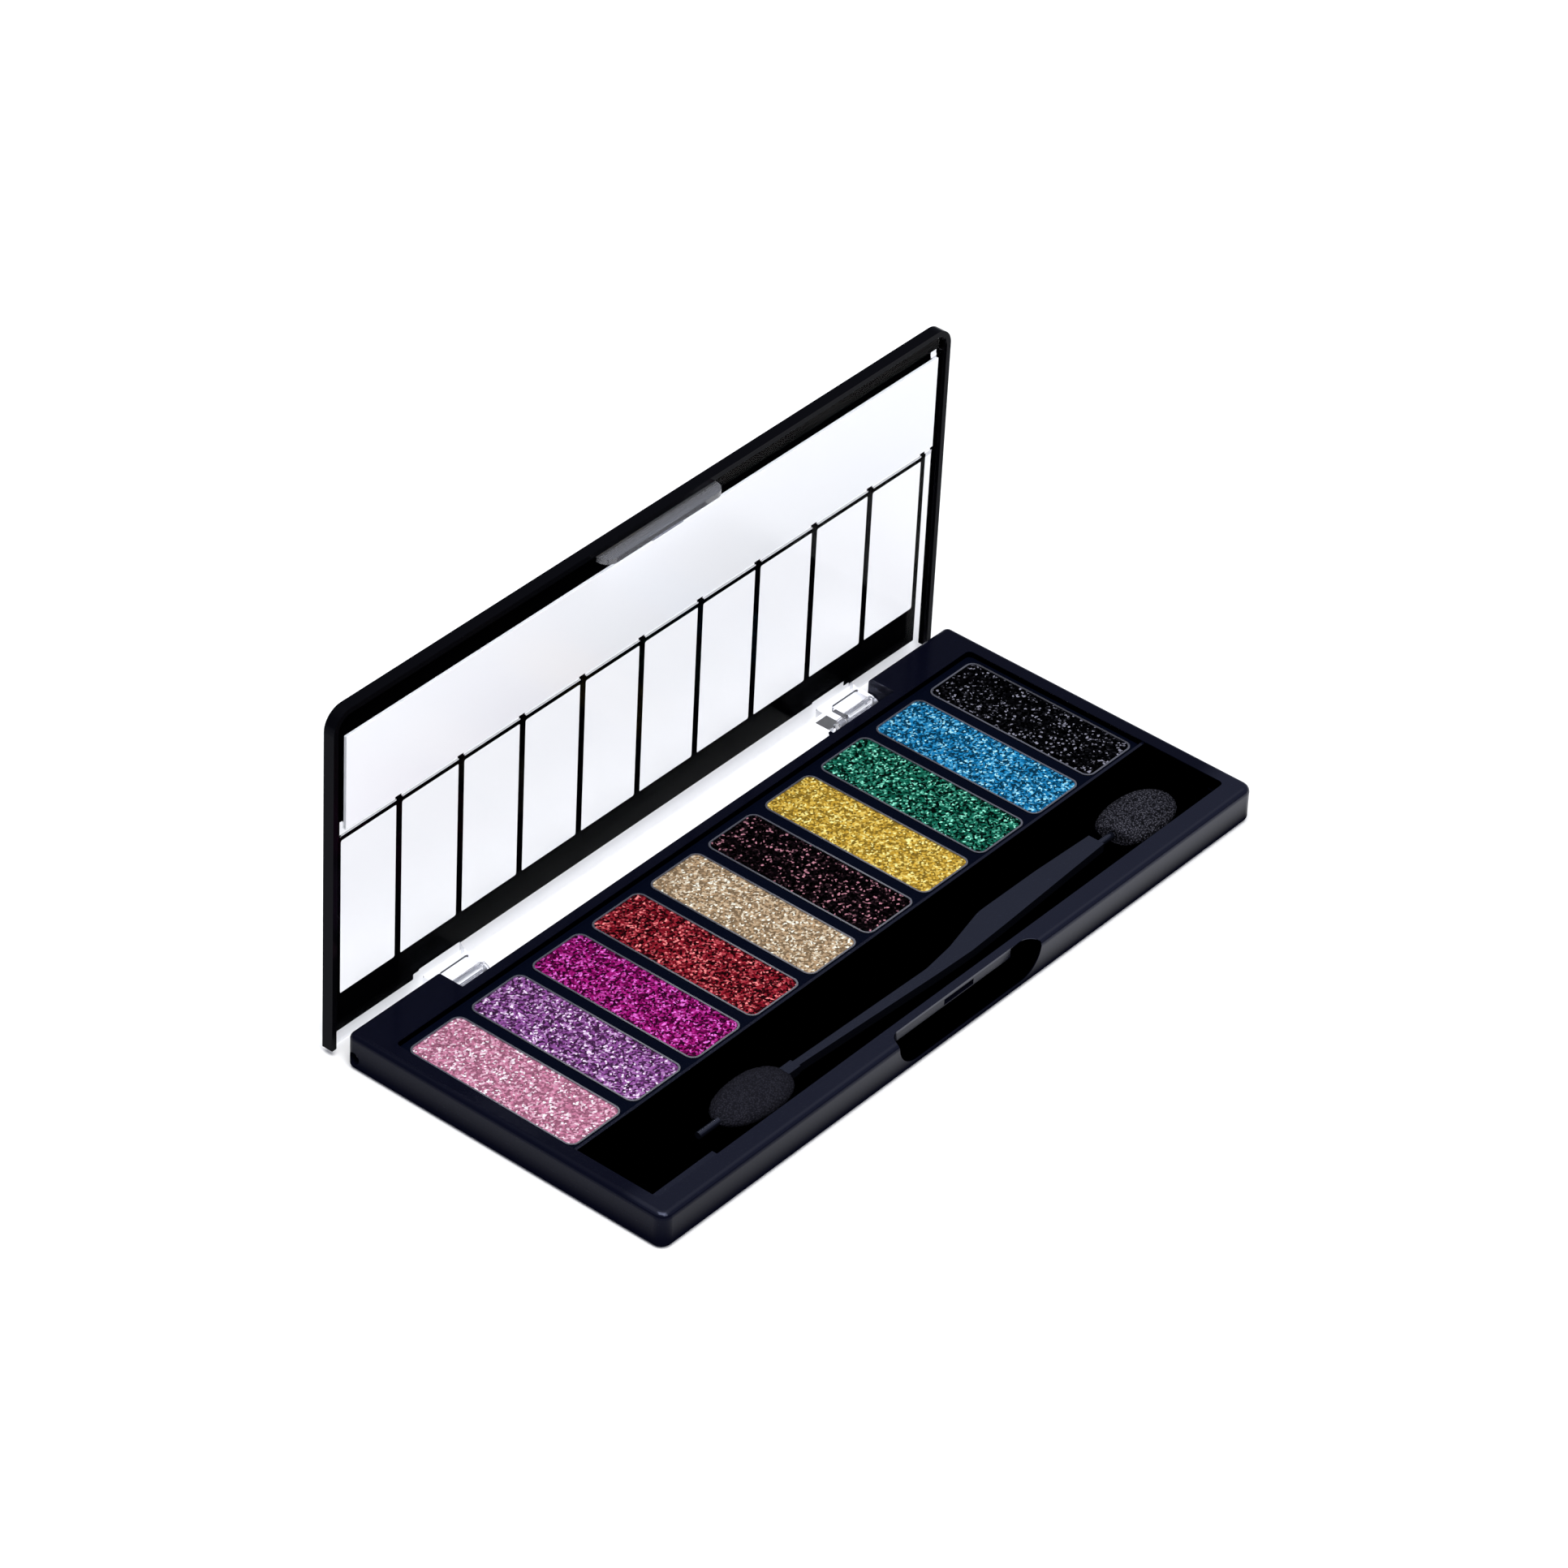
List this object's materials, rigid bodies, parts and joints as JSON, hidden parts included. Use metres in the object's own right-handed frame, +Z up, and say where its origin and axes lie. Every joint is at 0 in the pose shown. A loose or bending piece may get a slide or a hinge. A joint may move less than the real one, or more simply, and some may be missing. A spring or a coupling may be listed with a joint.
{
  "type": "eyeshadow palette",
  "caption": "Open eyeshadow palette: glossy black tray of glitter shades in metal pans, double-ended sponge applicator, hinged clear lid with windows and a mirror strip",
  "frame": {"origin": "centre of the base tray's flat underside", "axes": "+X along the palette to the black and silver shade, +Y towards the hinge, +Z up"},
  "size_m": [0.1614, 0.0765, 0.0718],
  "materials": {
    "base_plastic": "gloss",
    "frame_plastic": "satin",
    "pan_metal": "satin",
    "pad_glue": "matte",
    "pin_steel": "satin",
    "handle_plastic": "gloss",
    "sponge_foam": "matte",
    "lid_clear": "clear gloss",
    "rim_plastic": "gloss",
    "print_ink": "satin",
    "mirror_tape_paper": "matte",
    "mirror_glass": "polished",
    "powder_rose": "glitter",
    "powder_violet": "glitter",
    "powder_magenta": "glitter",
    "powder_red": "glitter",
    "powder_champagne": "glitter",
    "powder_black_rose": "glitter",
    "powder_gold": "glitter",
    "powder_emerald": "glitter",
    "powder_blue": "glitter",
    "powder_black_silver": "glitter"
  },
  "bodies": {
    "base": {"base_tray": "base_plastic", "pan_frame": "frame_plastic", "pan_glue": "pad_glue", "pan_01": "pan_metal", "shade_01": "powder_rose", "pan_02": "pan_metal", "shade_02": "powder_violet", "pan_03": "pan_metal", "shade_03": "powder_magenta", "pan_04": "pan_metal", "shade_04": "powder_red", "pan_05": "pan_metal", "shade_05": "powder_champagne", "pan_06": "pan_metal", "shade_06": "powder_black_rose", "pan_07": "pan_metal", "shade_07": "powder_gold", "pan_08": "pan_metal", "shade_08": "powder_emerald", "pan_09": "pan_metal", "shade_09": "powder_blue", "pan_10": "pan_metal", "shade_10": "powder_black_silver", "hinge_pin_left": "pin_steel", "hinge_pin_right": "pin_steel", "applicator_handle": "handle_plastic", "sponge_tip_left": "sponge_foam", "sponge_tip_right": "sponge_foam"},
    "lid": {"lid_panel": "lid_clear", "lid_rim": "rim_plastic", "lid_print": "print_ink", "mirror_tape": "mirror_tape_paper", "mirror": "mirror_glass"}
  },
  "joints": [
    {"name": "lid_hinge", "type": "hinge", "parent": "base", "child": "lid", "pos_m": [0, 0.0338, 0.0026], "axis": [1, 0, 0], "range_deg": [-7, 90]}
  ]
}
